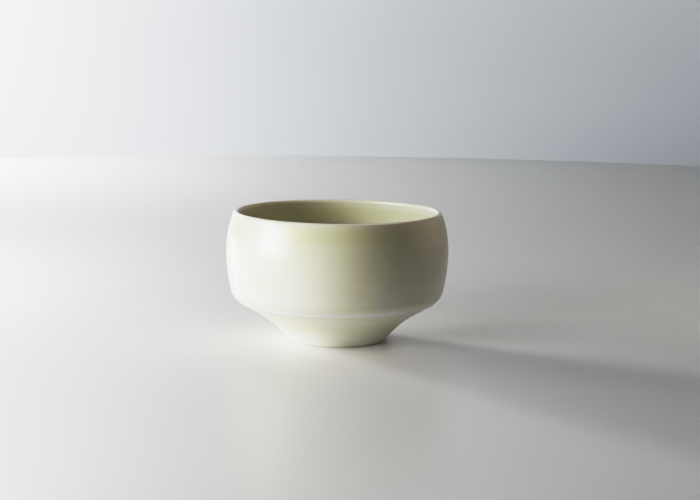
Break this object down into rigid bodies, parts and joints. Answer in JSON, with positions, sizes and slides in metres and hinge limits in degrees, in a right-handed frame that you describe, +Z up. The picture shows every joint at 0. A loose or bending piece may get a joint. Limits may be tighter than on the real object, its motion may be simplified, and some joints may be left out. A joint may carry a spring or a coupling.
{
  "type": "matcha bowl",
  "caption": "Footed matcha bowl in pale yellow-green satin glaze, for whisking and drinking powdered tea: round wall, turned line, flared foot ring.",
  "frame": {"origin": "centre of the foot ring's standing face, on the surface the bowl stands on", "axes": "+Z up along the bowl's axis; the bowl is the same all round"},
  "size_m": [0.12, 0.12, 0.07],
  "materials": {
    "clay": "fine pale stoneware, fired, under the glaze",
    "foot_clay": "bare fired stoneware, dry matt, turned",
    "liner_glaze": "pale yellow-green satin glaze, deeper where it pools",
    "outside_glaze": "pale yellow-green satin glaze, breaking white at the lip and turned line",
    "foot_glaze": "pale yellow-green satin glaze",
    "recess_glaze": "pale yellow-green satin glaze"
  },
  "bodies": {
    "root": {"bowl_body": "clay", "foot_ring": "foot_clay", "inside_glaze": "liner_glaze", "outside_glaze": "outside_glaze", "foot_glaze": "foot_glaze", "recess_glaze": "recess_glaze"}
  },
  "joints": []
}
